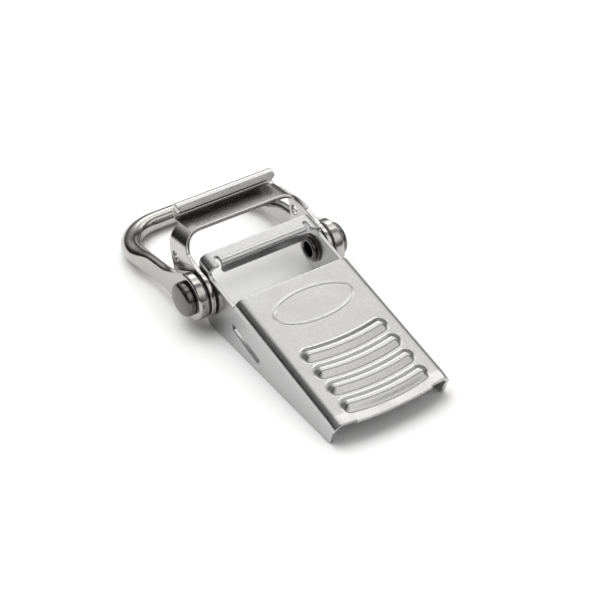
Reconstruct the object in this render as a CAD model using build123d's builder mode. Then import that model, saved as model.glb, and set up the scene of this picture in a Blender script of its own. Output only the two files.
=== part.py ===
from build123d import *
from math import asin, cos, radians, sin, sqrt
import os

# Riveted toggle latch: a stamped lever, a folded hook frame and a bent wire bail that all
# turn on one pair of side rivets. Millimetres.
# X runs from the bail's crossbar to the lever's tip, Y runs across the latch, Z is up.
# The origin is under the middle of the latch, on the surface that it lies on.

# Overall
LENGTH = 90.4
TIP_X = LENGTH / 2
CROSSBAR_X = -LENGTH / 2

# Rivet axis, parallel to Y
PIVOT_X = -7.0
PIVOT_Z = 8.1

# Lever: a channel of sheet with a sloping top
LEVER_WIDTH = 30.0
LEVER_SHEET = 1.0
LEVER_FOLD_R = 2.3
LEVER_SLOPE = 11.3
TOP_BACK_X = 5.9
TOP_BACK_Z = 13.7
LOBE_R = 5.8
FLOOR_FROM_X = -4.8
WINDOW_LENGTH = 10.8
WINDOW_DEPTH = 2.6
NOSE_LENGTH = 4.3
NOSE_CORNER_R = 2.5
LIP_HALF_WIDTH = 11.2
LIP_HEIGHT = 3.0
LIP_BEND_R = 1.5
NOTCH_WIDTH = 0.9
NOTCH_DEPTH = 2.6
DROOP_FROM = 36.2
DROOP_R = 8.0
DROOP_TURN = 8.0
DROOP_END = 3.2
DROOP_DEPTH = 7.2
FLANGE_END_X = 42.1
SHOULDER_X = 44.0
SHOULDER_INNER_X = 44.3
SHOULDER_HALF_WIDTH = 13.2
SHOULDER_Z = 4.0
TAB_HALF_WIDTH = 9.7
TAB_CROWN = 0.5
RIDGES = 4
RIDGE_FIRST = 20.3
RIDGE_PITCH = 4.97
RIDGE_HALF_SPAN = 8.6
RIDGE_SAG = 1.0
RIDGE_WIDTH = 3.6
RIDGE_HEIGHT = 0.6
RIDGE_TAPER = 40.0
OVAL_FROM_EDGE = 8.3
OVAL_HALF_LENGTH = 10.0
OVAL_HALF_WIDTH = 4.4
OVAL_BEAD = 0.7
OVAL_HEIGHT = 0.2
SLOT_X = 10.0
SLOT_Z = 4.5
SLOT_LENGTH = 11.6
SLOT_WIDTH = 1.7
SLOT_TILT = -15.0

# Rivet stack, from the lever's flange outwards
SHANK_R = 2.5
RUNNING_GAP = 0.05
SIDE_GAP = 0.1
SHIM = 0.3
SHIM_R = 5.0
HEAD_R = 4.0
HEAD_THICKNESS = 2.2
HEAD_EDGE_R = 0.9
ROLLED_R = 2.8
ROLLED_HEIGHT = 0.9
RIVET_BORE_R = 1.8
RIVET_BORE_DEPTH = 3.4
BACKING_R = 3.4
BACKING_THICKNESS = 0.5

# Hook frame: a bridge with two ears, and a tongue hooked back over the bridge
FRAME_SHEET = 1.0
FRAME_FOLD_R = 5.2
EAR_R = 5.8
BRIDGE_FRONT_X = -15.2
BRIDGE_FRONT_Z = 19.0
BRIDGE_SLOPE = 6.8
EAR_FRONT_X = -11.9
EAR_FRONT_Z = 15.6
EAR_BACK_TOP_X = -20.7
EAR_BACK_LOW_X = -17.6
EAR_BACK_LOW_Z = 7.7
EAR_HEEL_X = -13.7
EAR_HEEL_Z = 3.4
TONGUE_HALF_WIDTH = 13.2
TONGUE_REACH = 6.6
TONGUE_RISE_R = 1.1
TONGUE_RISE = 1.6
TONGUE_LIP_R = 0.9
TONGUE_LIP_TURN = 125.0
TONGUE_LIP = 1.5
EAR_HOLE_X = -16.7
EAR_HOLE_Z = 12.3
EAR_HOLE_R = 1.25

# Bail: round wire, flattened where the hook frame swings past it
WIRE_R = 2.3
LEG_Y = 18.0
CORNER_R = 11.0
ROUND_FROM = 25.2
FLAT_UP_TO = 18.5
FLAT_THICKNESS = 2.4
FLAT_HEIGHT = 5.8
NECK_AT = 9.5
EYE_R = 5.6

# Places across the stack, measured from the middle plane
flange_outer = LEVER_WIDTH / 2
flange_inner = flange_outer - LEVER_SHEET
ear_inner = flange_outer + SHIM + SIDE_GAP
ear_outer = ear_inner + FRAME_SHEET
outer_shim = ear_outer + SIDE_GAP
eye_inner = outer_shim + SHIM + SIDE_GAP
eye_outer = eye_inner + FLAT_THICKNESS
head_inner = eye_outer + SIDE_GAP
head_outer = head_inner + HEAD_THICKNESS
backing_inner = flange_inner - BACKING_THICKNESS
rolled_inner = backing_inner - ROLLED_HEIGHT

# The lever's top: local X runs down the slope to the tip, local Z stands square to the sheet
slope = radians(LEVER_SLOPE)
top_plane = Plane(
    origin=(TOP_BACK_X, 0, TOP_BACK_Z),
    x_dir=(cos(slope), 0, -sin(slope)),
    z_dir=(sin(slope), 0, cos(slope)),
)
lever_section = Plane(origin=top_plane.origin, x_dir=(0, 1, 0), z_dir=top_plane.x_dir)
droop_plane = Plane(
    origin=top_plane.origin + top_plane.x_dir * DROOP_FROM, x_dir=(0, 1, 0), z_dir=top_plane.x_dir
)
droop_profile = Plane(origin=top_plane.origin, x_dir=top_plane.x_dir, z_dir=(0, -1, 0))
lip_profile = Plane(origin=top_plane.origin, x_dir=top_plane.x_dir, z_dir=(0, -1, 0))
nose_back = -WINDOW_LENGTH - NOSE_LENGTH
nose_back_x = TOP_BACK_X + nose_back * cos(slope)

# The bridge's top: local X runs back from its front edge, local Z stands square to the sheet
bridge_slope = radians(BRIDGE_SLOPE)
bridge_back_dir = (-cos(bridge_slope), 0, -sin(bridge_slope))
bridge_origin = (BRIDGE_FRONT_X, 0, BRIDGE_FRONT_Z)
bridge_section = Plane(origin=bridge_origin, x_dir=(0, -1, 0), z_dir=bridge_back_dir)
tongue_profile = Plane(origin=bridge_origin, x_dir=bridge_back_dir, z_dir=(0, 1, 0))

# The bail slopes from the rivets down to its crossbar, which lies on the surface
bail_drop = PIVOT_Z - WIRE_R
bail_length = sqrt((PIVOT_X - CROSSBAR_X - WIRE_R) ** 2 + bail_drop**2)
bail_slope = asin(bail_drop / bail_length)
bail_plane = Plane(
    origin=(PIVOT_X, 0, PIVOT_Z),
    x_dir=(-cos(bail_slope), 0, -sin(bail_slope)),
    z_dir=(-sin(bail_slope), 0, cos(bail_slope)),
)
eye_plane = Plane(
    origin=(PIVOT_X, eye_inner, PIVOT_Z), x_dir=bail_plane.x_dir, z_dir=(0, 1, 0)
)


def rivet_plane(side, distance):
    """Plane square to the rivet axis, facing away from the middle of the latch."""
    return Plane(origin=(PIVOT_X, side * distance, PIVOT_Z), x_dir=(1, 0, 0), z_dir=(0, side, 0))


def leg_plane(distance):
    """Plane square to the bail's leg, centred on it."""
    centre = bail_plane.origin + bail_plane.x_dir * distance + Vector(0, LEG_Y, 0)
    return Plane(origin=centre, x_dir=(0, 1, 0), z_dir=bail_plane.x_dir)


def channel(width, sheet, fold_r, depth):
    """Section of a sheet folded down along both edges, its top at local Y = 0."""
    with BuildSketch() as section:
        with BuildLine():
            FilletPolyline(
                (-width / 2 + sheet / 2, -depth),
                (-width / 2 + sheet / 2, -sheet / 2),
                (width / 2 - sheet / 2, -sheet / 2),
                (width / 2 - sheet / 2, -depth),
                radius=fold_r - sheet / 2,
            )
        trace(line_width=sheet)
    return section.sketch_local


# ---- Lever ----
with BuildPart() as lever:
    # Channel of sheet, flanges down
    with BuildSketch(lever_section):
        add(channel(LEVER_WIDTH, LEVER_SHEET, LEVER_FOLD_R, LENGTH / 2))
    extrude(amount=DROOP_FROM)
    with BuildSketch(lever_section):
        add(channel(LEVER_WIDTH, LEVER_SHEET, LEVER_FOLD_R, LENGTH / 2))
    extrude(amount=-LENGTH / 2)

    # The tip droops
    with BuildLine(droop_profile) as droop:
        bend = CenterArc((DROOP_FROM, -DROOP_R), DROOP_R, 90, -DROOP_TURN)
        Line(bend @ 1, bend @ 1 + (bend % 1) * DROOP_END)
    with BuildSketch(droop_plane):
        add(channel(LEVER_WIDTH, LEVER_SHEET, LEVER_FOLD_R, DROOP_DEPTH))
    sweep(path=droop.wires()[0])

    # Side outline: round lobes about the rivets, and a flat bottom edge
    with BuildSketch(Plane.XZ):
        with BuildLine():
            Polyline(
                (nose_back_x, LENGTH / 2),
                (nose_back_x, PIVOT_Z + LOBE_R),
                (PIVOT_X - LOBE_R, PIVOT_Z),
                (PIVOT_X, PIVOT_Z - LOBE_R),
                (FLOOR_FROM_X, 0),
                (FLANGE_END_X, 0),
                (SHOULDER_X, SHOULDER_Z),
                (LENGTH, SHOULDER_Z),
                (LENGTH, LENGTH / 2),
                close=True,
            )
        make_face()
        with Locations((PIVOT_X, PIVOT_Z)):
            Circle(LOBE_R)
    extrude(amount=LENGTH / 2, both=True, mode=Mode.INTERSECT)

    # Window behind the top, open across the full width, with relief notches beside the lip
    with BuildSketch(top_plane.offset(-WINDOW_DEPTH)):
        with BuildLine():
            Polyline(
                (0, 0),
                (0, -LEVER_WIDTH),
                (-WINDOW_LENGTH, -LEVER_WIDTH),
                (-WINDOW_LENGTH, -LIP_HALF_WIDTH - NOTCH_WIDTH),
                (-WINDOW_LENGTH - NOTCH_DEPTH, -LIP_HALF_WIDTH - NOTCH_WIDTH),
                (-WINDOW_LENGTH - NOTCH_DEPTH, -LIP_HALF_WIDTH),
                (-WINDOW_LENGTH - LIP_BEND_R, -LIP_HALF_WIDTH),
                (-WINDOW_LENGTH - LIP_BEND_R, 0),
                close=True,
            )
        make_face()
        mirror(about=Plane.XZ)
    extrude(amount=WINDOW_DEPTH + LEVER_SHEET, mode=Mode.SUBTRACT)

    # Front lip of the nose bar, bent down towards the window
    with BuildSketch(lip_profile):
        with BuildLine():
            FilletPolyline(
                (-WINDOW_LENGTH - 2 * LIP_BEND_R, -LEVER_SHEET / 2),
                (-WINDOW_LENGTH - LEVER_SHEET / 2, -LEVER_SHEET / 2),
                (-WINDOW_LENGTH - LEVER_SHEET / 2, -LIP_HEIGHT),
                radius=LIP_BEND_R - LEVER_SHEET / 2,
            )
        trace(line_width=LEVER_SHEET)
    extrude(amount=LIP_HALF_WIDTH, both=True)

    # Rounded back corners of the nose bar
    with BuildSketch(top_plane.offset(-LEVER_FOLD_R)):
        with Locations((nose_back, -flange_outer)):
            Rectangle(2 * NOSE_CORNER_R, 2 * NOSE_CORNER_R)
        with Locations((nose_back + NOSE_CORNER_R, -flange_outer + NOSE_CORNER_R)):
            Circle(NOSE_CORNER_R, mode=Mode.SUBTRACT)
        mirror(about=Plane.XZ)
    extrude(amount=LEVER_FOLD_R + LEVER_SHEET, mode=Mode.SUBTRACT)

    # Tip: a shallow bowed tab between sloping shoulders
    with BuildSketch():
        with BuildLine():
            tab_edge = ThreePointArc(
                (TIP_X - TAB_CROWN, -TAB_HALF_WIDTH),
                (TIP_X, 0),
                (TIP_X - TAB_CROWN, TAB_HALF_WIDTH),
            )
            Polyline(
                tab_edge @ 1,
                (SHOULDER_INNER_X, TAB_HALF_WIDTH),
                (SHOULDER_X, SHOULDER_HALF_WIDTH),
                (SHOULDER_X, LEVER_WIDTH),
                (LENGTH, LEVER_WIDTH),
                (LENGTH, -LEVER_WIDTH),
                (SHOULDER_X, -LEVER_WIDTH),
                (SHOULDER_X, -SHOULDER_HALF_WIDTH),
                (SHOULDER_INNER_X, -TAB_HALF_WIDTH),
                tab_edge @ 0,
            )
        make_face()
    extrude(amount=LENGTH, mode=Mode.SUBTRACT)

    # Thumb ridges, bowed towards the tip
    with BuildSketch(top_plane):
        for ridge in range(RIDGES):
            start = RIDGE_FIRST + ridge * RIDGE_PITCH
            with BuildLine():
                ridge_line = ThreePointArc(
                    (start, -RIDGE_HALF_SPAN),
                    (start + RIDGE_SAG, 0),
                    (start, RIDGE_HALF_SPAN),
                )
            SlotArc(ridge_line, RIDGE_WIDTH)
    extrude(amount=RIDGE_HEIGHT, taper=RIDGE_TAPER)

    # Plain oval bead
    with BuildSketch(top_plane):
        with Locations((OVAL_FROM_EDGE, 0)):
            Ellipse(OVAL_HALF_WIDTH, OVAL_HALF_LENGTH)
            Ellipse(OVAL_HALF_WIDTH - OVAL_BEAD, OVAL_HALF_LENGTH - OVAL_BEAD, mode=Mode.SUBTRACT)
    extrude(amount=OVAL_HEIGHT)

    # Slots and rivet holes through both flanges
    with BuildSketch(Plane.XZ):
        with Locations((SLOT_X, SLOT_Z)):
            SlotOverall(SLOT_LENGTH, SLOT_WIDTH, rotation=SLOT_TILT)
        with Locations((PIVOT_X, PIVOT_Z)):
            Circle(SHANK_R)
    extrude(amount=LEVER_WIDTH, both=True, mode=Mode.SUBTRACT)
lever.part.label = "lever"

# ---- Hook frame ----
with BuildPart() as hook_frame:
    # Bridge and ears: a channel of sheet
    with BuildSketch(bridge_section):
        add(channel(2 * ear_outer, FRAME_SHEET, FRAME_FOLD_R, LENGTH / 2))
    extrude(amount=LENGTH / 2, both=True)

    # Side outline: each ear runs down and forward into a round eye about the rivet
    with BuildSketch(Plane.XZ):
        with BuildLine():
            Polyline(
                (BRIDGE_FRONT_X, LENGTH / 2),
                (BRIDGE_FRONT_X, BRIDGE_FRONT_Z),
                (EAR_FRONT_X, EAR_FRONT_Z),
                (PIVOT_X, PIVOT_Z + EAR_R),
                (PIVOT_X, PIVOT_Z - EAR_R),
                (EAR_HEEL_X, EAR_HEEL_Z),
                (EAR_BACK_LOW_X, EAR_BACK_LOW_Z),
                (EAR_BACK_TOP_X, BRIDGE_FRONT_Z),
                (EAR_BACK_TOP_X, LENGTH / 2),
                close=True,
            )
        make_face()
        with Locations((PIVOT_X, PIVOT_Z)):
            Circle(EAR_R)
    extrude(amount=LENGTH / 2, both=True, mode=Mode.INTERSECT)

    # Tongue: the bridge runs on behind the ears, turns up and hooks forward
    with BuildSketch(tongue_profile):
        with BuildLine():
            Line((FRAME_SHEET, -FRAME_SHEET / 2), (TONGUE_REACH, -FRAME_SHEET / 2))
            rise = CenterArc(
                (TONGUE_REACH, TONGUE_RISE_R - FRAME_SHEET / 2), TONGUE_RISE_R, -90, 90
            )
            wall = Line(rise @ 1, rise @ 1 + (0, TONGUE_RISE))
            lip = CenterArc(
                wall @ 1 - (TONGUE_LIP_R, 0), TONGUE_LIP_R, 0, TONGUE_LIP_TURN
            )
            Line(lip @ 1, lip @ 1 + (lip % 1) * TONGUE_LIP)
        trace(line_width=FRAME_SHEET)
    extrude(amount=TONGUE_HALF_WIDTH, both=True)

    # Rivet eyes, and the open pin holes above them
    with BuildSketch(Plane.XZ):
        with Locations((PIVOT_X, PIVOT_Z)):
            Circle(SHANK_R + RUNNING_GAP)
        with Locations((EAR_HOLE_X, EAR_HOLE_Z)):
            Circle(EAR_HOLE_R)
    extrude(amount=LEVER_WIDTH, both=True, mode=Mode.SUBTRACT)
hook_frame.part.label = "hook_frame"

# ---- Bail ----
with BuildPart() as bail:
    # Round wire: crossbar, two corners and the far parts of the legs
    with BuildLine(bail_plane) as wire_line:
        FilletPolyline(
            (ROUND_FROM, LEG_Y),
            (bail_length, LEG_Y),
            (bail_length, -LEG_Y),
            (ROUND_FROM, -LEG_Y),
            radius=CORNER_R,
        )
    with BuildSketch(leg_plane(ROUND_FROM)):
        Circle(WIRE_R)
    sweep(path=wire_line.wires()[0])

    # The leg flattens towards the rivet
    with BuildSketch(leg_plane(ROUND_FROM)):
        Circle(WIRE_R)
    with BuildSketch(leg_plane(FLAT_UP_TO)):
        Ellipse(FLAT_THICKNESS / 2, FLAT_HEIGHT / 2)
    loft()
    with BuildSketch(eye_plane):
        with BuildLine():
            Polyline(
                (0, -EYE_R),
                (NECK_AT, -FLAT_HEIGHT / 2),
                (FLAT_UP_TO, -FLAT_HEIGHT / 2),
                (FLAT_UP_TO, FLAT_HEIGHT / 2),
                (NECK_AT, FLAT_HEIGHT / 2),
                (0, EYE_R),
                close=True,
            )
        make_face()
        Circle(EYE_R)
        Circle(SHANK_R + RUNNING_GAP, mode=Mode.SUBTRACT)
    extrude(amount=FLAT_THICKNESS)
    mirror(about=Plane.XZ)
bail.part.label = "bail"

# ---- Rivets and washers, a set on each side ----
rivet_sets = []
for side, side_name in ((-1, "left"), (1, "right")):
    with BuildPart() as rivet:
        with BuildSketch(rivet_plane(side, rolled_inner)):
            Circle(ROLLED_R)
        extrude(amount=ROLLED_HEIGHT)
        rolled_edge = rivet.edges().filter_by(GeomType.CIRCLE).sort_by(Axis.Y)[0 if side > 0 else -1]
        fillet(rolled_edge, ROLLED_HEIGHT / 2)
        with BuildSketch(rivet_plane(side, backing_inner)):
            Circle(SHANK_R)
        extrude(amount=head_inner - backing_inner)
        with BuildSketch(rivet_plane(side, head_inner)):
            Circle(HEAD_R)
        extrude(amount=HEAD_THICKNESS)
        head_edge = rivet.edges().filter_by(GeomType.CIRCLE).sort_by(Axis.Y)[-1 if side > 0 else 0]
        fillet(head_edge, HEAD_EDGE_R)
        with BuildSketch(rivet_plane(side, rolled_inner)):
            Circle(RIVET_BORE_R)
        extrude(amount=RIVET_BORE_DEPTH, mode=Mode.SUBTRACT)
    rivet.part.label = f"pivot_rivet_{side_name}"
    rivet_sets.append(rivet.part)

    washers = (
        ("backing_washer", backing_inner, BACKING_THICKNESS, BACKING_R),
        ("lever_shim", flange_outer, SHIM, SHIM_R),
        ("bail_shim", outer_shim, SHIM, SHIM_R),
    )
    for washer_name, distance, thickness, radius in washers:
        with BuildPart() as washer:
            with BuildSketch(rivet_plane(side, distance)):
                Circle(radius)
                Circle(SHANK_R, mode=Mode.SUBTRACT)
            extrude(amount=thickness)
        washer.part.label = f"{washer_name}_{side_name}"
        rivet_sets.append(washer.part)

os.makedirs("parts", exist_ok=True)
export_step(lever.part, "parts/lever.step")
export_step(hook_frame.part, "parts/hook_frame.step")
export_step(bail.part, "parts/bail.step")
for piece in rivet_sets:
    export_step(piece, f"parts/{piece.label}.step")
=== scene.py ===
from math import acos, asin, atan2, ceil, cos, hypot, pi, radians, sin, sqrt, tan

import bpy
import numpy as np
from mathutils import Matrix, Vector
from mathutils.geometry import delaunay_2d_cdt
from mathutils.kdtree import KDTree


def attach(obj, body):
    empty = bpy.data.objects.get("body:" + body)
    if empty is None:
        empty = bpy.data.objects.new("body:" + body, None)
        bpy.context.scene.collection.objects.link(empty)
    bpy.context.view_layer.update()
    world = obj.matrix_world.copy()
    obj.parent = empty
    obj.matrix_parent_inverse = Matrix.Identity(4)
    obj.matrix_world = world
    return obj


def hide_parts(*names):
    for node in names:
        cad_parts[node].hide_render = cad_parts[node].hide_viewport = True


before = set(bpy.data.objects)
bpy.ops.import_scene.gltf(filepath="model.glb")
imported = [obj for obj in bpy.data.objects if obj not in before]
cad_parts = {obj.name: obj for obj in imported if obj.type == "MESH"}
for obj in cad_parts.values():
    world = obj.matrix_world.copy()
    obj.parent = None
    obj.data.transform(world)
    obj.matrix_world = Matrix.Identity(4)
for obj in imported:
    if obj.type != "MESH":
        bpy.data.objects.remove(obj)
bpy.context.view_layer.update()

# Dimensions are in millimetres in the CAD frame, and become metres when a mesh is made.
MM = 0.001

PIVOT = (-7.0, 8.1)
SHEET = 1.0
EDGE_R = 0.13
PRESSED_BORE_R = 2.52
TURNING_BORE_R = 2.55

# Mesh spacing
RIM_SUPPORT = 0.16
SUPPORT_CLEARANCE = 0.1
LATTICE_CLEARANCE = 0.34
OUTLINE_STEP = 0.45
LEVER_GRID = 0.4
FRAME_GRID = 0.42
BEND_GRID = 0.22
RIDGE_GUIDED = 1.17
BEAD_GUIDED = 0.68
SHARP_ANGLE = 38

# Lever
LEVER_FLAT = 12.7
LEVER_FOLD_R = 2.3
LEVER_SLOPE = radians(11.3)
TOP_BACK = (5.9, 13.7)
NOSE_CORNER = (14.9, 2.2)
LOBE_START = (-14.2, 16.87)
LOBE_R = 5.8
LOBE_ARC = (236, 82)
FLANGE_FOOT_X = (-4.8, 42.1)
FLANGE_FRONT = (43.8, 4.0)
WINDOW_LENGTH = 10.8
WINDOW_DEPTH = 2.6
WINDOW_CORNER_R = 1.1
NOSE_LENGTH = 4.3
LIP_HALF_WIDTH = 11.2
LIP_BEND_R = 1.5
LIP_TURN = radians(72)
LIP_STRAIGHT = 1.8
LIP_LIMIT = -5
NOTCH_WIDTH = 0.9
NOTCH_DEPTH = 2.6
NOTCH_R = 0.4
DROOP_FROM = 36.2
DROOP_R = 8.0
DROOP_TURN = radians(8)
DROOP_DEPTH = 3.0
DROOP_FADE = (6.5, 4.2)
SHOULDER_X = (44.0, 44.3)
SHOULDER_HALF_WIDTH = 13.2
TAB_HALF_WIDTH = 9.7
TAB_TIP_X = 45.2
TAB_CROWN = 0.5
RIDGES = 4
RIDGE_FIRST = 20.3
RIDGE_PITCH = 4.97
RIDGE_HALF_SPAN = 9.1
RIDGE_SAG = 0.8
RIDGE_BACK = 2.4
RIDGE_FRONT = 2.3
RIDGE_END = 2.3
RIDGE_CREST = 0.08
RIDGE_HEIGHT = 1.0
OVAL_CENTRE = 8.3
OVAL_HALF = (4.4, 9.9)
BEAD_HALF = 0.42
BEAD_HEIGHT = 0.14
SLOT = (10.0, 4.5)
SLOT_TILT = -15
SLOT_REACH = 4.95
SLOT_R = 0.85

# Hook frame
FRAME_FLAT = 11.2
FRAME_FOLD_R = 5.2
FRAME_SLOPE = radians(6.8)
BRIDGE_FRONT = (-15.2, 19.0)
ARCH_CORNER = (10.6, 3.0)
EAR_FRONT = (-11.9, 15.6)
EAR_FRONT_RUN = (3.3, -3.4)
EAR_EYE_R = 5.8
EAR_WAIST = (-13.7, 3.4)
EAR_HEEL = (-17.6, 7.7)
EAR_BACK_RUN = (-3.1, 11.3)
PIN_HOLE = (-16.7, 12.3)
PIN_HOLE_R = 1.25
TONGUE_FROM = 5.4
TONGUE_HALF_WIDTH = 13.2
TONGUE_REACH = 6.6
RISE_R = 1.1
RISE = 1.595
HOOK_R = 0.9
HOOK_TURN = radians(125)
HOOK_STRAIGHT = 1.5
RISE_END = TONGUE_REACH + RISE_R * pi / 2
HOOK_START = RISE_END + RISE
HOOK_END = HOOK_START + HOOK_R * HOOK_TURN

# Bail
WIRE_R = 2.3
LEG_Y = 18.1
CORNER_R = 11.0
EYE_R = 5.6
CROSSBAR_X = -45.2
FLAT_HALF_THICKNESS = 1.2
FLAT_EDGE_R = 0.6
FLAT_EDGE_GROWTH = 0.5
EDGE_GROWS_FROM = 3.0
EDGE_GROWS_OVER = 9.0
NECK_FROM = 1.4
NECK_LENGTH = 10.5
NECK_HALF_HEIGHT = 2.85
NECK_FLARE = 2.57
ROUND_FROM = 17.0
ROUND_LENGTH = 8.6

# Rivets and washers, as distances from the middle plane and radii
SHANK_R = 2.5
HEAD_FROM = 19.4
HEAD_R = 4.0
HEAD_FACE = 21.6
ROLLED_R = 2.8
HOLLOW_END = 16.0
HOLLOW_R = 1.8
BACKING = (13.5, 0.5, 3.4)
LEVER_SHIM = (15.0, 0.3, 5.0)
BAIL_SHIM = (16.5, 0.3, 5.0)
BACKING_EDGE = 0.12
SHIM_EDGE = 0.08


# ---- Loops in the flat ----
def rounded(corners, step):
    """Closed loop of points about step apart through (x, y, radius) corners."""
    arcs = []
    for i, (x, y, radius) in enumerate(corners):
        here = np.array((x, y))
        back = np.array(corners[i - 1][:2]) - here
        ahead = np.array(corners[(i + 1) % len(corners)][:2]) - here
        back_length, ahead_length = np.linalg.norm(back), np.linalg.norm(ahead)
        back, ahead = back / back_length, ahead / ahead_length
        turn = pi - acos(np.clip(back @ ahead, -1, 1))
        if radius <= 0 or turn < 0.02:
            arcs.append([here])
            continue
        reach = min(radius * tan(turn / 2), 0.49 * back_length, 0.49 * ahead_length)
        radius = reach / tan(turn / 2)
        middle = back + ahead
        centre = here + middle / np.linalg.norm(middle) * hypot(radius, reach)
        start = here + back * reach - centre
        end = here + ahead * reach - centre
        a0 = atan2(start[1], start[0])
        sweep = (atan2(end[1], end[0]) - a0 + pi) % (2 * pi) - pi
        count = max(3, ceil(abs(sweep) * radius / (0.6 * step)))
        angles = [a0 + sweep * k / count for k in range(count + 1)]
        arcs.append([centre + radius * np.array((cos(a), sin(a))) for a in angles])
    loop = []
    for i, arc in enumerate(arcs):
        loop += arc
        start, end = arc[-1], arcs[(i + 1) % len(arcs)][0]
        count = max(1, round(np.linalg.norm(end - start) / step))
        loop += [start + (end - start) * k / count for k in range(1, count)]
    kept = [p for i, p in enumerate(loop) if np.linalg.norm(p - loop[i - 1]) > 1e-4]
    return np.array(kept)


def turned(loop, anticlockwise):
    """The loop, reversed if it doesn't run the way asked for."""
    x, y = loop[:, 0], loop[:, 1]
    area = np.sum(x * np.roll(y, -1) - np.roll(x, -1) * y)
    return loop if (area > 0) == anticlockwise else loop[::-1]


def inset(loop, distance):
    """The loop moved to its left by distance, with sharp corners held back."""
    edge = np.roll(loop, -1, axis=0) - loop
    edge /= np.linalg.norm(edge, axis=1)[:, None]
    left = np.stack((-edge[:, 1], edge[:, 0]), axis=1)
    before = np.roll(left, 1, axis=0)
    share = 1 + np.sum(left * before, axis=1)
    return loop + distance * (left + before) / np.maximum(share, 0.3)[:, None]


def inside(points, loop):
    """Which points lie in the closed loop."""
    x, y = points[:, 0], points[:, 1]
    result = np.zeros(len(points), bool)
    for (x0, y0), (x1, y1) in zip(loop, np.roll(loop, -1, axis=0)):
        if y0 == y1:
            continue
        crosses = (y0 > y) != (y1 > y)
        result ^= crosses & (x < (x1 - x0) * (y - y0) / (y1 - y0) + x0)
    return result


def lines(stops, step):
    """Grid lines about step apart that pass through every stop."""
    result = [stops[0]]
    for start, end in zip(stops, stops[1:]):
        count = max(1, round((end - start) / step))
        result += [start + (end - start) * k / count for k in range(1, count + 1)]
    return result


def circle(centre, radius, to_flat, count=40):
    """Flat-pattern loop of a round hole at this place of a flange."""
    angles = [2 * pi * k / count for k in range(count)]
    return np.array(
        [to_flat(centre[0] + radius * cos(a), centre[1] + radius * sin(a)) for a in angles]
    )


# ---- Meshes ----
def make_object(name, points, faces, smooth_below=None):
    mesh = bpy.data.meshes.new(name)
    mesh.from_pydata([tuple(float(c) * MM for c in p) for p in points], [], faces)
    mesh.validate()
    mesh.shade_smooth()
    if smooth_below:
        mesh.set_sharp_from_angle(angle=radians(smooth_below))
    obj = bpy.data.objects.new(name, mesh)
    bpy.context.scene.collection.objects.link(obj)
    return obj


def sheet_object(
    name, outline, holes, place, relief, grid_u, grid_v, guides=(), is_guided=None
):
    """A sheet of even thickness, cut along the outline and holes and formed by place(u, v, n)."""
    loops = [turned(outline, True)] + [turned(hole, False) for hole in holes]
    insets = [inset(loop, EDGE_R) for loop in loops]
    flat = []
    rings = []
    constraints = []
    for loop in insets:
        first = len(flat)
        flat += [tuple(p) for p in loop]
        rings.append((first, len(loop)))
        constraints += [(first + i, first + (i + 1) % len(loop)) for i in range(len(loop))]
    tree = KDTree(len(flat))
    for i, (u, v) in enumerate(flat):
        tree.insert((u, v, 0), i)
    tree.balance()

    def in_sheet(points):
        keep = inside(points, insets[0])
        for loop in insets[1:]:
            keep &= ~inside(points, loop)
        return keep

    uu, vv = np.meshgrid(grid_u, grid_v)
    lattice = np.stack((uu.ravel(), vv.ravel()), axis=1)
    if is_guided is not None:
        lattice = lattice[~is_guided(lattice)]
        lattice = np.concatenate([lattice] + [np.asarray(g) for g in guides])
    lattice = lattice[in_sheet(lattice)]
    support = np.concatenate([inset(loop, EDGE_R + RIM_SUPPORT) for loop in loops])
    support = support[in_sheet(support)]
    kept = [tuple(p) for p in support if tree.find((p[0], p[1], 0))[2] > SUPPORT_CLEARANCE]
    kept += [tuple(p) for p in lattice if tree.find((p[0], p[1], 0))[2] > LATTICE_CLEARANCE]
    flat += kept

    result = delaunay_2d_cdt([Vector(p) for p in flat], constraints, [], 0, 1e-5, True)
    spots = np.array([tuple(p) for p in result[0]])
    triangles = np.array(result[2])
    origin = result[3]
    triangles = triangles[in_sheet(spots[triangles].mean(axis=1))]
    index_of = {}
    for index, sources in enumerate(origin):
        for source in sources:
            index_of[source] = index

    u, v = spots[:, 0], spots[:, 1]
    height = relief(u, v)
    points = [place(u, v, height), place(u, v, height - SHEET)]
    count = len(spots)
    faces = [tuple(t) for t in triangles.tolist()]
    faces += [(c + count, b + count, a + count) for a, b, c in triangles.tolist()]
    # Rounded rims that join the two sides along every loop
    total = 2 * count
    quarter = [radians(a) for a in (30, 60, 90)]
    rows = [(EDGE_R * (1 - sin(a)), EDGE_R * (cos(a) - 1)) for a in quarter]
    rows += [(out, -SHEET - depth) for out, depth in reversed(rows)]
    for (first, size), loop in zip(rings, loops):
        ids = [[index_of[first + i] for i in range(size)]]
        for out, depth in rows:
            row = inset(loop, out)
            points.append(place(row[:, 0], row[:, 1], np.full(size, depth)))
            ids.append(list(range(total, total + size)))
            total += size
        ids.append([index_of[first + i] + count for i in range(size)])
        for upper, lower in zip(ids, ids[1:]):
            for i in range(size):
                j = (i + 1) % size
                faces.append((upper[j], upper[i], lower[i], lower[j]))
    points = np.concatenate(points)
    used = sorted({i for face in faces for i in face})
    renumber = {old: new for new, old in enumerate(used)}
    return make_object(name, points[used], [tuple(renumber[i] for i in face) for face in faces])


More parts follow.
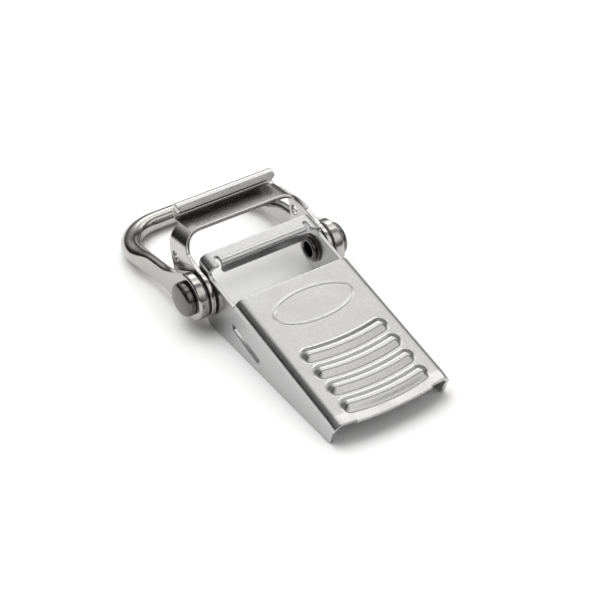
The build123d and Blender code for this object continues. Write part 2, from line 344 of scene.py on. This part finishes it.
def lathe_object(name, profile, side, segments=72):
    """Turned about the rivet axis; profile holds (distance from the middle plane, radius)."""
    points = []
    faces = []
    rings = []
    for distance, radius in profile:
        if radius < 1e-6:
            rings.append([len(points)])
            points.append((PIVOT[0], side * distance, PIVOT[1]))
            continue
        rings.append(list(range(len(points), len(points) + segments)))
        for k in range(segments):
            a = 2 * pi * k / segments
            x = PIVOT[0] + radius * cos(a)
            z = PIVOT[1] + side * radius * sin(a)
            points.append((x, side * distance, z))
    closed = len(rings[0]) > 1
    pairs = list(zip(rings, rings[1:])) + ([(rings[-1], rings[0])] if closed else [])
    for a, b in pairs:
        for k in range(segments):
            m = (k + 1) % segments
            corners = [a[k % len(a)], a[m % len(a)], b[m % len(b)], b[k % len(b)]]
            face = [c for i, c in enumerate(corners) if c != corners[i - 1]]
            faces.append(tuple(face))
    return make_object(name, np.array(points), faces, SHARP_ANGLE)


def channel(v, n, flat, fold_r):
    """Signed distance from the middle plane, and height, on a channel folded down at both sides."""
    past = np.abs(v) - flat
    angle = np.clip(past / fold_r, 0, pi / 2)
    down = np.maximum(past - fold_r * pi / 2, 0)
    y = np.minimum(np.abs(v), flat) + (fold_r + n) * np.sin(angle)
    h = -fold_r + (fold_r + n) * np.cos(angle) - down
    return np.sign(v) * y, h


def across(depth, flat, fold_r):
    """Flat-pattern place of a point at this depth below a channel's top."""
    if depth < fold_r:
        return flat + fold_r * acos(1 - max(depth, 0) / fold_r)
    return flat + fold_r * pi / 2 + depth - fold_r


# ---- Lever ----
lever_down = np.array((cos(LEVER_SLOPE), -sin(LEVER_SLOPE)))
lever_up = np.array((sin(LEVER_SLOPE), cos(LEVER_SLOPE)))


def lever_flat(x, z):
    """Flat-pattern place of a point of the lever's flange."""
    rel = np.array((x - TOP_BACK[0], z - TOP_BACK[1]))
    return rel @ lever_down, across(-(rel @ lever_up), LEVER_FLAT, LEVER_FOLD_R)


def lever_place(u, v, n):
    """Where the point (u, v) of the lever's flat pattern ends up, n above its outer side."""
    y, h = channel(v, n, LEVER_FLAT, LEVER_FOLD_R)
    along = u.copy()
    # Lip bent down at the window side of the nose bar
    start = -WINDOW_LENGTH - LIP_BEND_R
    in_lip = (np.abs(v) < LIP_HALF_WIDTH + NOTCH_WIDTH / 2) & (u > start) & (u < LIP_LIMIT)
    bend = np.clip((u - start) / LIP_BEND_R, 0, LIP_TURN)
    hang = np.maximum(u - start - LIP_BEND_R * LIP_TURN, 0)
    lip_u = start + (LIP_BEND_R + n) * np.sin(bend) + hang * np.cos(bend)
    lip_h = -LIP_BEND_R + (LIP_BEND_R + n) * np.cos(bend) - hang * np.sin(bend)
    along = np.where(in_lip, lip_u, along)
    h = np.where(in_lip, lip_h, h)
    # Drooping tip, whose bend fades out down the flanges
    past = np.maximum(u - DROOP_FROM, 0)
    turn = np.minimum(past / DROOP_R, DROOP_TURN)
    run = np.maximum(past - DROOP_R * DROOP_TURN, 0)
    shallow = np.maximum(h, -DROOP_DEPTH)
    bent_u = np.minimum(u, DROOP_FROM) + DROOP_R * np.sin(turn) + run * np.cos(turn)
    bent_u = bent_u + shallow * np.sin(turn)
    bent_h = -DROOP_R * (1 - np.cos(turn)) - run * np.sin(turn) + shallow * np.cos(turn)
    bent_h = bent_h + h - shallow
    fade = np.clip((DROOP_FADE[0] + h) / DROOP_FADE[1], 0, 1)
    fade = fade * fade * (3 - 2 * fade) * (past > 0)
    along = along + fade * (bent_u - along)
    h = h + fade * (bent_h - h)
    x = TOP_BACK[0] + along * lever_down[0] + h * lever_up[0]
    z = TOP_BACK[1] + along * lever_down[1] + h * lever_up[1]
    return np.stack((x, y, z), axis=1)


def tip_at(x):
    """Flat-pattern place along the lever's middle line where it reaches x."""
    low, high = 20.0, 60.0
    for _ in range(50):
        middle = (low + high) / 2
        found = lever_place(np.array([middle]), np.zeros(1), np.zeros(1))[0, 0]
        low, high = (middle, high) if found < x else (low, middle)
    return low


def ridge_line(k, v):
    """Crest line of thumb ridge k, which bows towards the tip in the middle."""
    bow = np.clip(np.abs(v) / RIDGE_HALF_SPAN, 0, 1)
    return RIDGE_FIRST + k * RIDGE_PITCH + RIDGE_SAG * (1 - bow**2)


def ridge_level(u, v):
    """0 on the nearest thumb ridge's crest line, 1 at its foot."""
    nearest = np.full(np.shape(u), 1e3)
    past = np.maximum(np.abs(v) - RIDGE_HALF_SPAN, 0) / RIDGE_END
    for k in range(RIDGES):
        ahead = u - ridge_line(k, v)
        ahead = ahead / np.where(ahead > 0, RIDGE_FRONT, RIDGE_BACK)
        nearest = np.minimum(nearest, np.hypot(ahead, past))
    return nearest


def oval_distance(u, v):
    """Rough distance from the oval bead's line."""
    a, b = OVAL_HALF
    du = u - OVAL_CENTRE
    level = np.sqrt((du / a) ** 2 + (v / b) ** 2)
    slope = np.hypot(du / a**2, v / b**2) / np.maximum(level, 1e-6)
    return np.abs(level - 1) / np.maximum(slope, 1e-6)


def smooth(t):
    t = np.clip(t, 0, 1)
    return t * t * (3 - 2 * t)


def lever_relief(u, v):
    """Height of the ridges and the bead above the plate."""
    ridge = (1 - ridge_level(u, v)) / (1 - RIDGE_CREST)
    bead = (BEAD_HALF - oval_distance(u, v)) / BEAD_HALF
    return RIDGE_HEIGHT * smooth(ridge) + BEAD_HEIGHT * smooth(bead)


def mirrored(half):
    """Closed corner list from one that runs from the middle line, round one side, back to it."""
    return half + [(u, -v, r) for u, v, r in reversed(half) if abs(v) > 1e-9]


nose_back = -WINDOW_LENGTH - NOSE_LENGTH
lobe_u, lobe_v = lever_flat(*PIVOT)
half = [(nose_back, 0, 0), (nose_back, *NOSE_CORNER), (*LOBE_START, 0.4)]
half += [
    (lobe_u + LOBE_R * cos(radians(a)), lobe_v + LOBE_R * sin(radians(a)), 0)
    for a in np.linspace(*LOBE_ARC, 24)
]
half += [(*lever_flat(FLANGE_FOOT_X[0], 0), 1.0), (*lever_flat(FLANGE_FOOT_X[1], 0), 0.7)]
half += [(*lever_flat(*FLANGE_FRONT), 0.8), (tip_at(SHOULDER_X[0]), SHOULDER_HALF_WIDTH, 1.0)]
half += [(tip_at(SHOULDER_X[1]), TAB_HALF_WIDTH, 0.2)]
half += [(tip_at(TAB_TIP_X - TAB_CROWN), TAB_HALF_WIDTH, 0.2)]
half += [
    (tip_at(TAB_TIP_X - TAB_CROWN * (k / 8) ** 2), k / 8 * TAB_HALF_WIDTH, 0)
    for k in range(7, -1, -1)
]
lever_outline = rounded(mirrored(half), OUTLINE_STEP)

window_v = across(WINDOW_DEPTH, LEVER_FLAT, LEVER_FOLD_R)
lip_end = -WINDOW_LENGTH - LIP_BEND_R + LIP_BEND_R * LIP_TURN + LIP_STRAIGHT
notch_v = LIP_HALF_WIDTH + NOTCH_WIDTH
notch_u = -WINDOW_LENGTH - NOTCH_DEPTH
window = rounded(
    mirrored(
        [
            (0, 0, 0),
            (0, window_v, WINDOW_CORNER_R),
            (-WINDOW_LENGTH, window_v, WINDOW_CORNER_R),
            (-WINDOW_LENGTH, notch_v, NOTCH_R),
            (notch_u, notch_v, NOTCH_R),
            (notch_u, LIP_HALF_WIDTH, NOTCH_R),
            (lip_end, LIP_HALF_WIDTH, 0.5),
            (lip_end, 0, 0),
        ]
    ),
    OUTLINE_STEP,
)
slot_dir = (cos(radians(SLOT_TILT)), sin(radians(SLOT_TILT)))
slot_corners = []
for end, first in ((1, -90), (-1, 90)):
    for k in range(9):
        a = radians(first + SLOT_TILT + 180 * k / 8)
        x = SLOT[0] + end * SLOT_REACH * slot_dir[0] + SLOT_R * cos(a)
        z = SLOT[1] + end * SLOT_REACH * slot_dir[1] + SLOT_R * sin(a)
        slot_corners.append((*lever_flat(x, z), 0))
slot = rounded(slot_corners, OUTLINE_STEP)
eye = circle(PIVOT, PRESSED_BORE_R, lever_flat)
flip = np.array((1, -1))

# Mesh points that follow the ridges and the bead
ridge_guides = []
span = np.linspace(-RIDGE_HALF_SPAN, RIDGE_HALF_SPAN, 56)
for k in range(RIDGES):
    ridge_guides.append(np.stack((ridge_line(k, span), span), axis=1))
    for level in (0.15, 0.3, 0.45, 0.6, 0.75, 0.9, 1.0, 1.08):
        crest = ridge_line(k, span)
        ridge_guides.append(np.stack((crest + RIDGE_FRONT * level, span), axis=1))
        ridge_guides.append(np.stack((crest - RIDGE_BACK * level, span), axis=1))
        count = max(3, round(pi * 2 * level / 0.33))
        angle = np.linspace(0, pi, count + 1)[1:-1]
        reach = np.where(np.cos(angle) > 0, RIDGE_FRONT, RIDGE_BACK)
        end_u = ridge_line(k, RIDGE_HALF_SPAN) + reach * level * np.cos(angle)
        end_v = RIDGE_HALF_SPAN + RIDGE_END * level * np.sin(angle)
        ridge_guides.append(np.stack((end_u, end_v), axis=1))
        ridge_guides.append(np.stack((end_u, -end_v), axis=1))
for offset in (-0.5, -0.36, -0.24, -0.12, 0.0, 0.12, 0.24, 0.36, 0.5):
    angle = np.linspace(0, 2 * pi, 140, endpoint=False)
    a, b = OVAL_HALF
    normal = np.stack((np.cos(angle) / a, np.sin(angle) / b), axis=1)
    normal /= np.linalg.norm(normal, axis=1)[:, None]
    ring = np.stack((OVAL_CENTRE + a * np.cos(angle), b * np.sin(angle)), axis=1)
    ridge_guides.append(ring + offset * normal)


def lever_guided(p):
    """Which points lie where the guides replace the square lattice."""
    near_ridge = ridge_level(p[:, 0], p[:, 1]) < RIDGE_GUIDED
    return near_ridge | (oval_distance(p[:, 0], p[:, 1]) < BEAD_GUIDED)


flange_stop = LEVER_FLAT + LEVER_FOLD_R * pi / 2
half_lines = lines([0, LEVER_FLAT, flange_stop, 32], LEVER_GRID)
lever_v = sorted({-v for v in half_lines} | set(half_lines))
bend_start = -WINDOW_LENGTH - LIP_BEND_R
droop_end = DROOP_FROM + DROOP_R * DROOP_TURN
bend_end = bend_start + LIP_BEND_R * LIP_TURN
lever_u = lines([-20, bend_start, bend_end, 0, DROOP_FROM, droop_end, 44], LEVER_GRID)
lever = sheet_object(
    "thumb_lever",
    lever_outline,
    [window, slot, slot * flip, eye, eye * flip],
    lever_place,
    lever_relief,
    lever_u,
    lever_v,
    ridge_guides,
    lever_guided,
)


# ---- Hook frame ----
frame_back = np.array((-cos(FRAME_SLOPE), -sin(FRAME_SLOPE)))
frame_up = np.array((-sin(FRAME_SLOPE), cos(FRAME_SLOPE)))


def frame_flat(x, z):
    """Flat-pattern place of a point of the frame's ear."""
    rel = np.array((x - BRIDGE_FRONT[0], z - BRIDGE_FRONT[1]))
    return rel @ frame_back, across(-(rel @ frame_up), FRAME_FLAT, FRAME_FOLD_R)


def frame_place(u, v, n):
    """Where the point (u, v) of the frame's flat pattern ends up, n above its outer side."""
    y, h = channel(v, n, FRAME_FLAT, FRAME_FOLD_R)
    m = n + SHEET / 2
    # Upward bend, wall, and the hook that turns forward
    rise = np.clip((u - TONGUE_REACH) / RISE_R, 0, pi / 2)
    wall = np.clip(u - RISE_END, 0, RISE)
    hook = np.clip((u - HOOK_START) / HOOK_R, 0, HOOK_TURN)
    tail = np.maximum(u - HOOK_END, 0)
    heading = rise + hook
    along = np.minimum(u, TONGUE_REACH) + RISE_R * np.sin(rise)
    along = along - HOOK_R * (1 - np.cos(hook)) + tail * np.cos(heading)
    lift = RISE_R * (1 - np.cos(rise)) + wall + HOOK_R * np.sin(hook) + tail * np.sin(heading)
    formed_u = along - m * np.sin(heading)
    formed_h = lift + m * np.cos(heading) - SHEET / 2
    in_tongue = u > TONGUE_REACH
    along = np.where(in_tongue, formed_u, u)
    h = np.where(in_tongue, formed_h, h)
    x = BRIDGE_FRONT[0] + along * frame_back[0] + h * frame_up[0]
    z = BRIDGE_FRONT[1] + along * frame_back[1] + h * frame_up[1]
    return np.stack((x, -y, z), axis=1)


def no_relief(u, v):
    return np.zeros(np.shape(u))


eye_u, eye_v = frame_flat(*PIVOT)
half = [(0, 0, 0), (0, *ARCH_CORNER)]
for t in (0.12, 0.3, 0.5, 0.7, 0.86):
    x = BRIDGE_FRONT[0] + EAR_FRONT_RUN[0] * t
    z = BRIDGE_FRONT[1] + EAR_FRONT_RUN[1] * t
    half.append((*frame_flat(x, z), 0))
half.append((*frame_flat(*EAR_FRONT), 1.5))
# Round eye, from above the rivet, round its front, to below it
eye_start = np.array(frame_flat(PIVOT[0], PIVOT[1] + EAR_EYE_R)) - (eye_u, eye_v)
eye_finish = np.array(frame_flat(PIVOT[0], PIVOT[1] - EAR_EYE_R)) - (eye_u, eye_v)
a0 = atan2(eye_start[1], eye_start[0])
a1 = atan2(eye_finish[1], eye_finish[0])
a1 = a1 if a1 < a0 else a1 - 2 * pi
eye_front = np.array(frame_flat(PIVOT[0] + EAR_EYE_R, PIVOT[1])) - (eye_u, eye_v)
front = atan2(eye_front[1], eye_front[0])
front = front - 2 * pi if front > a0 else front
if not a1 < front < a0:
    a1 += 2 * pi
half += [
    (eye_u + EAR_EYE_R * cos(a), eye_v + EAR_EYE_R * sin(a), 0)
    for a in np.linspace(a0, a1, 26)
]
half += [(*frame_flat(*EAR_WAIST), 1.6), (*frame_flat(*EAR_HEEL), 1.8)]
for t in (0.4, 0.55, 0.68, 0.79, 0.87):
    x = EAR_HEEL[0] + EAR_BACK_RUN[0] * t
    z = EAR_HEEL[1] + EAR_BACK_RUN[1] * t
    half.append((*frame_flat(x, z), 0))
tongue_end = HOOK_END + HOOK_STRAIGHT
half += [(TONGUE_FROM, TONGUE_HALF_WIDTH, 0.5)]
half += [(tongue_end, TONGUE_HALF_WIDTH, 0.9), (tongue_end, 0, 0)]
frame_outline = rounded(mirrored(half), 0.4)
eye = circle(PIVOT, TURNING_BORE_R, frame_flat)
pin_hole = circle(PIN_HOLE, PIN_HOLE_R, frame_flat, 28)
half_lines = lines([0, FRAME_FLAT, FRAME_FLAT + FRAME_FOLD_R * pi / 2, 42], FRAME_GRID)
frame_v = sorted({-v for v in half_lines} | set(half_lines))
frame_u = lines([-20, 0, TONGUE_REACH], FRAME_GRID)[:-1]
frame_u += lines([TONGUE_REACH, RISE_END, HOOK_START, HOOK_END, 15], BEND_GRID)
hook_frame = sheet_object(
    "hook_frame_sheet",
    frame_outline,
    [eye, eye * flip, pin_hole, pin_hole * flip],
    frame_place,
    no_relief,
    frame_u,
    frame_v,
)

# ---- Bail ----
drop = PIVOT[1] - WIRE_R
bail_length = sqrt((PIVOT[0] - CROSSBAR_X - WIRE_R) ** 2 + drop**2)
bail_slope = asin(drop / bail_length)
bail_dir = np.array((-cos(bail_slope), 0, -sin(bail_slope)))
bail_up = np.array((-sin(bail_slope), 0, cos(bail_slope)))
bail_origin = np.array((PIVOT[0], 0, PIVOT[1]))
side_dir = np.array((0, 1, 0))


def leg_section(s):
    """Half thickness, half height and corner radius of the bail's leg, s along from the rivet."""
    blend = float(smooth((s - ROUND_FROM) / ROUND_LENGTH))
    if s < NECK_FROM:
        height = sqrt(max(EYE_R**2 - s**2, 0))
    else:
        # Second half of a smooth step, so the neck leaves the eye already sloping
        narrowing = float(smooth((s - NECK_FROM) / NECK_LENGTH * 0.5 + 0.5))
        height = NECK_HALF_HEIGHT + NECK_FLARE * (1 - narrowing) / 0.5
    height = (1 - blend) * height + blend * WIRE_R
    thickness = FLAT_HALF_THICKNESS * (1 - blend) + WIRE_R * blend
    growth = float(smooth((s - EDGE_GROWS_FROM) / EDGE_GROWS_OVER))
    corner = (FLAT_EDGE_R + FLAT_EDGE_GROWTH * growth) * (1 - blend) + WIRE_R * blend
    rim = EYE_R + s
    if rim < FLAT_EDGE_R:
        thickness = FLAT_EDGE_R + sqrt(FLAT_EDGE_R**2 - (FLAT_EDGE_R - rim) ** 2)
    return thickness, height, min(corner, height, thickness)


def section_ring(thickness, height, corner):
    """Closed ring of a rounded rectangle, given by its half sizes and corner radius."""
    ring = []
    for sx, sy, first in ((1, 1, 0), (-1, 1, 90), (-1, -1, 180), (1, -1, 270)):
        centre = (sx * (thickness - corner), sy * (height - corner))
        for k in range(9):
            a = radians(first + 90 * k / 8)
            ring.append((centre[0] + corner * cos(a), centre[1] + corner * sin(a)))
    result = []
    for i, p in enumerate(ring):
        result.append(p)
        if i % 9 == 8:
            q = ring[(i + 1) % len(ring)]
            for t in (0.04, 0.3, 0.5, 0.7, 0.96):
                result.append((p[0] + (q[0] - p[0]) * t, p[1] + (q[1] - p[1]) * t))
    return result


stations = []
leg_stops = [-EYE_R + 0.002]
leg_stops += list(-EYE_R + FLAT_EDGE_R * (1 - np.cos(np.linspace(0.25, pi / 2, 6))))
leg_stops += list(np.linspace(-4.7, bail_length - CORNER_R, 86))
for s in leg_stops:
    stations.append((bail_origin + bail_dir * s + side_dir * LEG_Y, side_dir, leg_section(s)))
corner_centre = bail_origin + bail_dir * (bail_length - CORNER_R) + side_dir * (LEG_Y - CORNER_R)
for a in np.linspace(0, pi / 2, 33)[1:]:
    outward = side_dir * cos(a) + bail_dir * sin(a)
    stations.append((corner_centre + outward * CORNER_R, outward, (WIRE_R, WIRE_R, WIRE_R)))
mirror = np.array((1, -1, 1))
stations += [(p * mirror, out * mirror, dims) for p, out, dims in reversed(stations)]
points = []
for centre, outward, dims in stations:
    points += [centre + outward * x + bail_up * y for x, y in section_ring(*dims)]
ring_size = len(section_ring(1, 1, 1))
faces = []
for k in range(len(stations) - 1):
    for i in range(ring_size):
        j = (i + 1) % ring_size
        a, b = k * ring_size, (k + 1) * ring_size
        faces.append((a + i, b + i, b + j, a + j))
last = (len(stations) - 1) * ring_size
faces.append(tuple(range(ring_size)))
faces.append(tuple(last + i for i in reversed(range(ring_size))))
bail = make_object("wire_bail", np.array(points), faces)


def bored(obj, radius):
    """Bores a hole along the rivet axis through both eyes."""
    bpy.ops.mesh.primitive_cylinder_add(
        vertices=64,
        radius=radius * MM,
        depth=0.06,
        location=(PIVOT[0] * MM, 0, PIVOT[1] * MM),
        rotation=(pi / 2, 0, 0),
    )
    drill = bpy.context.object
    cut = obj.modifiers.new("bore", "BOOLEAN")
    cut.operation = "DIFFERENCE"
    cut.solver = "EXACT"
    cut.object = drill
    graph = bpy.context.evaluated_depsgraph_get()
    mesh = bpy.data.meshes.new_from_object(obj.evaluated_get(graph))
    obj.modifiers.clear()
    old = obj.data
    obj.data = mesh
    bpy.data.meshes.remove(old)
    bpy.data.objects.remove(drill)
    mesh.shade_smooth()
    mesh.set_sharp_from_angle(angle=radians(SHARP_ANGLE))


bored(bail, TURNING_BORE_R)


# ---- Rivets and washers ----
def arc(cy, cr, radius, first, last, count=8):
    """Profile points on an arc; 0 degrees points outwards along the axis, 90 away from it."""
    return [
        (cy + radius * cos(radians(a)), cr + radius * sin(radians(a)))
        for a in np.linspace(first, last, count + 1)
    ]


def rivet_profile():
    """Hollow rolled end, shank, and domed head."""
    profile = [(HOLLOW_END, 0), (HOLLOW_END - 0.1, HOLLOW_R - 0.2), (HOLLOW_END - 0.5, HOLLOW_R)]
    profile += arc(13.0, 2.2, 0.4, 270, 180, 8)[:-1]
    profile += arc(13.1, 2.3, 0.5, 180, 90, 8)
    profile += [(13.46, ROLLED_R), (BACKING[0], 2.76), (BACKING[0], SHANK_R)]
    profile += [(HEAD_FROM, SHANK_R), (HEAD_FROM, HEAD_R - 0.1), (HEAD_FROM + 0.1, HEAD_R)]
    profile += arc(20.35, 2.85, 1.15, 90, 20, 9)
    profile += [(HEAD_FACE - 0.04, 2.2), (HEAD_FACE, 1.2), (HEAD_FACE, 0)]
    return profile


def washer_profile(near, thickness, radius, hole, edge):
    far = near + thickness
    profile = [(near + edge, hole), (near, hole + edge)]
    profile += arc(near + edge, radius - edge, edge, 180, 90, 4)
    profile += arc(far - edge, radius - edge, edge, 90, 0, 4)
    profile += [(far, hole + edge), (far - edge, hole)]
    return profile


small_parts = []
for side, side_name in ((-1, "left"), (1, "right")):
    for node, profile in (
        ("pivot_rivet", rivet_profile()),
        ("backing_washer", washer_profile(*BACKING, PRESSED_BORE_R, BACKING_EDGE)),
        ("lever_shim", washer_profile(*LEVER_SHIM, PRESSED_BORE_R, SHIM_EDGE)),
        ("bail_shim", washer_profile(*BAIL_SHIM, PRESSED_BORE_R, SHIM_EDGE)),
    ):
        part = lathe_object(f"{node}_turned_{side_name}", profile, side)
        small_parts.append((part, f"{node}_{side_name}"))


# ---- Materials ----
def steel(name, color, roughness, grain_scale, grain_stretch, bump, spread=0.06):
    """Bare steel with a fine rolled or tumbled grain."""
    material = bpy.data.materials.new(name)
    material.use_nodes = True
    nodes = material.node_tree.nodes
    link = material.node_tree.links.new
    shader = nodes["Principled BSDF"]
    shader.inputs["Metallic"].default_value = 1.0
    place = nodes.new("ShaderNodeTexCoord")
    stretch = nodes.new("ShaderNodeMapping")
    stretch.inputs["Scale"].default_value = grain_stretch
    link(place.outputs["Object"], stretch.inputs["Vector"])
    grain = nodes.new("ShaderNodeTexNoise")
    grain.inputs["Scale"].default_value = grain_scale
    grain.inputs["Detail"].default_value = 5.0
    grain.inputs["Roughness"].default_value = 0.62
    link(stretch.outputs["Vector"], grain.inputs["Vector"])
    cloud = nodes.new("ShaderNodeTexNoise")
    cloud.inputs["Scale"].default_value = 180.0
    cloud.inputs["Detail"].default_value = 3.0
    link(place.outputs["Object"], cloud.inputs["Vector"])

    tint = nodes.new("ShaderNodeValToRGB")
    tint.color_ramp.elements[0].position = 0.3
    tint.color_ramp.elements[0].color = (*[c * (1 - spread) for c in color], 1)
    tint.color_ramp.elements[1].position = 0.7
    tint.color_ramp.elements[1].color = (*[min(1, c * (1 + spread)) for c in color], 1)
    link(grain.outputs["Fac"], tint.inputs["Fac"])
    link(tint.outputs["Color"], shader.inputs["Base Color"])

    rough = nodes.new("ShaderNodeMapRange")
    rough.inputs["From Min"].default_value = 0.3
    rough.inputs["From Max"].default_value = 0.7
    rough.inputs["To Min"].default_value = roughness * 0.85
    rough.inputs["To Max"].default_value = roughness * 1.2
    link(cloud.outputs["Fac"], rough.inputs["Value"])
    link(rough.outputs["Result"], shader.inputs["Roughness"])

    surface = nodes.new("ShaderNodeBump")
    surface.inputs["Strength"].default_value = bump
    surface.inputs["Distance"].default_value = 0.00003
    link(grain.outputs["Fac"], surface.inputs["Height"])
    link(surface.outputs["Normal"], shader.inputs["Normal"])
    return material


lever_steel = steel(
    "lever_satin",
    color=(0.51, 0.51, 0.51),
    roughness=0.24,
    grain_scale=2600.0,
    grain_stretch=(0.6, 1.0, 1.0),
    bump=0.55,
)
frame_steel = steel(
    "frame_bright",
    color=(0.52, 0.51, 0.50),
    roughness=0.16,
    grain_scale=1800.0,
    grain_stretch=(0.25, 1.0, 1.0),
    bump=0.25,
)
wire_steel = steel(
    "wire_drawn",
    color=(0.46, 0.445, 0.43),
    roughness=0.16,
    grain_scale=1500.0,
    grain_stretch=(0.3, 1.0, 1.0),
    bump=0.3,
)
# Base colour set far darker than bare steel as painted shade: it stands in for the shade that falls
# on the rivet and washer stacks tucked between the bail eyes and the lever flanges.
rivet_steel_painted_shade = steel(
    "rivet_painted_shade",
    color=(0.15, 0.144, 0.138),
    roughness=0.22,
    grain_scale=1600.0,
    grain_stretch=(1.0, 1.0, 1.0),
    bump=0.35,
)


def finish_piece(obj, material, node, body):
    """Gives the piece its material and body, and hides the CAD part it replaces."""
    obj.data.materials.clear()
    obj.data.materials.append(material)
    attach(obj, body)
    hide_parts(node)


finish_piece(lever, lever_steel, "lever", "lever_body")
finish_piece(hook_frame, frame_steel, "hook_frame", "frame_body")
finish_piece(bail, wire_steel, "bail", "bail_body")
for part, node in small_parts:
    finish_piece(part, rivet_steel_painted_shade, node, "lever_body")

# ---- Floor ----
FLOOR_GAP = 0.00002
bpy.ops.mesh.primitive_plane_add(size=4.0, location=(0, 0, -FLOOR_GAP))
floor = bpy.context.object
floor.name = "floor"
paper = bpy.data.materials.new("floor_paper")
paper.use_nodes = True
paper_shader = paper.node_tree.nodes["Principled BSDF"]
paper_shader.inputs["Base Color"].default_value = (0.95, 0.95, 0.95, 1)
paper_shader.inputs["Roughness"].default_value = 0.9
paper_shader.inputs["Specular IOR Level"].default_value = 0.1
floor.data.materials.append(paper)


# ---- Light ----
def softbox(name, position, aim, size, power):
    data = bpy.data.lights.new(name, "AREA")
    data.shape = "RECTANGLE"
    data.size, data.size_y = size
    data.energy = power
    lamp = bpy.data.objects.new(name, data)
    bpy.context.scene.collection.objects.link(lamp)
    lamp.location = position
    lamp.rotation_mode = "QUATERNION"
    lamp.rotation_quaternion = (Vector(aim) - Vector(position)).to_track_quat("-Z", "Y")
    return lamp


# Large lamp for the floor, which the steel doesn't mirror
fill = softbox("fill", position=(-0.22, -0.26, 0.88), aim=(0, 0, 0), size=(0.9, 0.8), power=6.5)
fill.visible_glossy = False
softbox("softbox_back", position=(-0.62, 0.42, 0.66), aim=(0, 0, 0), size=(0.36, 0.36), power=0.7)

# Room brightness by direction: a bright tent at -X that is brightest overhead, a dim gap, and
# a bright panel at +X; both fade towards -Y and towards the floor
world = bpy.data.worlds.new("studio")
world.use_nodes = True
bpy.context.scene.world = world
nodes = world.node_tree.nodes
link = world.node_tree.links.new
direction = nodes.new("ShaderNodeTexCoord")
parts = nodes.new("ShaderNodeSeparateXYZ")
link(direction.outputs["Generated"], parts.inputs["Vector"])


def graded(value, low, high, at_low, at_high):
    """The value mapped smoothly from (low, high) to (at_low, at_high)."""
    node = nodes.new("ShaderNodeMapRange")
    node.interpolation_type = "SMOOTHSTEP"
    node.inputs["From Min"].default_value = low
    node.inputs["From Max"].default_value = high
    node.inputs["To Min"].default_value = at_low
    node.inputs["To Max"].default_value = at_high
    link(value, node.inputs["Value"])
    return node.outputs["Result"]


def combined(operation, first, second):
    """Two values joined by a Math node."""
    node = nodes.new("ShaderNodeMath")
    node.operation = operation
    link(first, node.inputs[0])
    link(second, node.inputs[1])
    return node.outputs["Value"]


along_room = graded(parts.outputs["X"], -0.02, 0.12, 1.02, 0.32)
overhead = combined(
    "MULTIPLY",
    graded(parts.outputs["X"], -0.32, -0.12, 0.0, 0.90),
    graded(parts.outputs["X"], -0.02, 0.11, 1.0, 0.0),
)
front_panel = graded(parts.outputs["X"], 0.26, 0.46, 0.0, 0.85)
across_room = graded(parts.outputs["Y"], -0.50, 0.12, 0.16, 1.0)
up_room = graded(parts.outputs["Z"], 0.18, 0.64, 0.12, 1.05)
brightness = combined("ADD", combined("ADD", along_room, overhead), front_panel)
brightness = combined("MULTIPLY", brightness, across_room)
brightness = combined("MULTIPLY", brightness, up_room)
link(brightness, nodes["Background"].inputs["Strength"])
nodes["Background"].inputs["Color"].default_value = (1.0, 0.99, 0.98, 1)

# ---- Camera ----
camera_data = bpy.data.cameras.new("camera")
camera_data.sensor_width = 36.0
camera_data.lens = 112.7
camera = bpy.data.objects.new("camera", camera_data)
bpy.context.scene.collection.objects.link(camera)
target = Vector((-0.00104, 0.00657, 0))
back = Vector((0.6499, -0.4347, 0.6235))
CAMERA_DISTANCE = 0.427
camera.location = target + back * CAMERA_DISTANCE
camera.rotation_mode = "QUATERNION"
camera.rotation_quaternion = (-back).to_track_quat("-Z", "Y")
bpy.context.scene.camera = camera
bpy.context.scene.view_settings.view_transform = "Standard"
